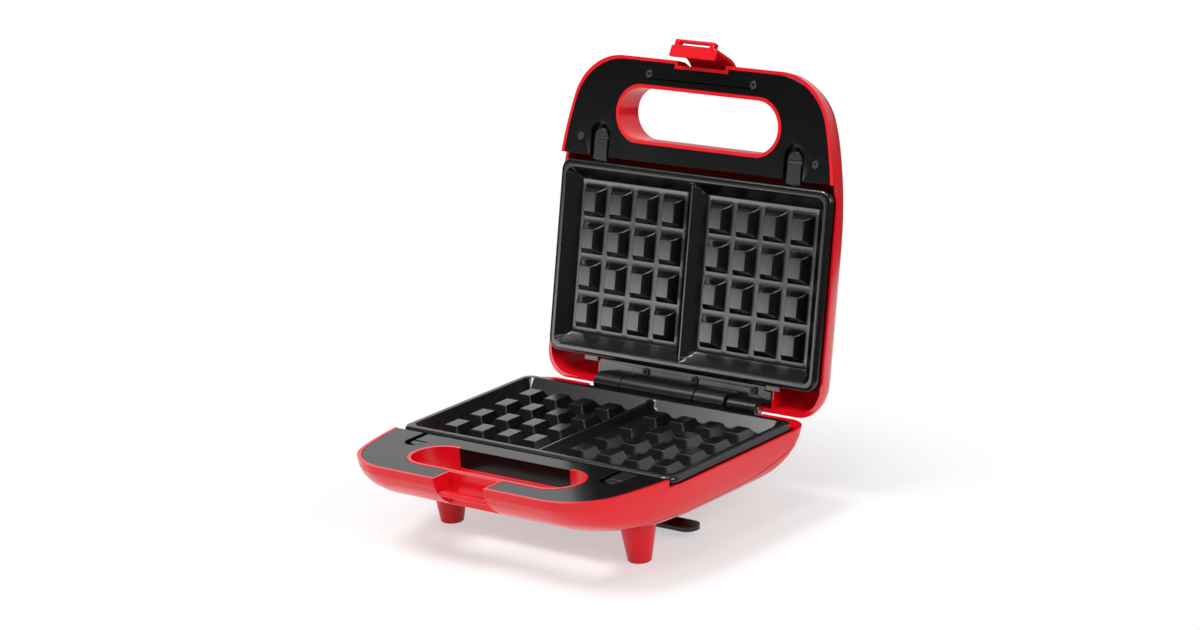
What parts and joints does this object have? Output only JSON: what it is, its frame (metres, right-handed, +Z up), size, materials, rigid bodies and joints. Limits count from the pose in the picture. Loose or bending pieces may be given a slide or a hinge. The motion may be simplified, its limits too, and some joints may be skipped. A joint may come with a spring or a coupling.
{
  "type": "multi snack maker",
  "caption": "Counter-top snack maker with a hinged lid, two lift-out black non-stick baking plates, a latch and slide releases, standing open.",
  "frame": {"origin": "centre of the overall box on the floor", "axes": "+Z up, -Y towards the front with the latch notch, +X to the right"},
  "size_m": [0.2356, 0.2954, 0.299],
  "materials": {
    "red_plastic": "glossy moulded red plastic",
    "black_panel": "satin black heat-resistant plastic",
    "nonstick": "black non-stick coating on cast aluminium, satin",
    "lever_plastic": "matte dark grey plastic",
    "hinge_plastic": "satin black plastic",
    "black_gloss": "glossy black plastic",
    "dark_screws": "dark phosphated steel",
    "tray_sheet": "mill-finish aluminium sheet",
    "element_steel": "drawn steel",
    "white_plastic": "white moulded insulator",
    "gland_rubber": "black rubber",
    "red_lens": "translucent red lens",
    "green_lens": "translucent green lens"
  },
  "bodies": {
    "base": {"base_shell": "red_plastic", "bottom_cover": "red_plastic", "front_foot_left": "red_plastic", "front_foot_right": "red_plastic", "cord_winder": "black_gloss", "base_panel": "black_panel", "lower_baking_plate": "nonstick", "lower_heat_tray": "tray_sheet", "lower_heating_element": "element_steel", "thermostat": "element_steel", "thermal_fuse": "white_plastic", "terminal_block": "white_plastic", "cord_gland": "gland_rubber", "base_hinge_bracket": "hinge_plastic", "hinge_pin": "element_steel", "cable_sleeve": "hinge_plastic", "base_hinge_screws": "dark_screws", "winder_screws": "dark_screws", "cover_screws": "dark_screws"},
    "lid": {"lid_shell": "red_plastic", "lid_panel": "black_panel", "lid_screws": "dark_screws", "upper_baking_plate": "nonstick", "upper_heat_tray": "tray_sheet", "upper_heating_element": "element_steel", "lid_hinge_bracket": "hinge_plastic", "lid_hinge_screws": "dark_screws", "power_lamp": "red_lens", "ready_lamp": "green_lens", "latch_pin": "element_steel"},
    "latch": {"latch": "red_plastic"},
    "lower_left_slide": {"lower_release_left": "lever_plastic"},
    "lower_right_slide": {"lower_release_right": "lever_plastic"},
    "upper_left_slide": {"upper_release_left": "lever_plastic"},
    "upper_right_slide": {"upper_release_right": "lever_plastic"}
  },
  "joints": [
    {"name": "lid_hinge", "type": "hinge", "parent": "base", "child": "lid", "pos_m": [0, 0.07983, 0.0606], "axis": [1, 0, 0], "range_deg": [0, 102.2]},
    {"name": "latch_hinge", "type": "hinge", "parent": "lid", "child": "latch", "pos_m": [0, 0.1435, 0.26424], "axis": [1, 0, 0], "range_deg": [0, 20]},
    {"name": "lower_left_release", "type": "slide", "parent": "base", "child": "lower_left_slide", "axis": [0, -1, 0], "range_m": [0, 0.004], "stiffness_N_per_m": 100},
    {"name": "lower_right_release", "type": "slide", "parent": "base", "child": "lower_right_slide", "axis": [0, -1, 0], "range_m": [0, 0.004], "stiffness_N_per_m": 100},
    {"name": "upper_left_release", "type": "slide", "parent": "lid", "child": "upper_left_slide", "axis": [0, 0.2113, 0.9774], "range_m": [0, 0.004], "stiffness_N_per_m": 100},
    {"name": "upper_right_release", "type": "slide", "parent": "lid", "child": "upper_right_slide", "axis": [0, 0.2113, 0.9774], "range_m": [0, 0.004], "stiffness_N_per_m": 100}
  ]
}
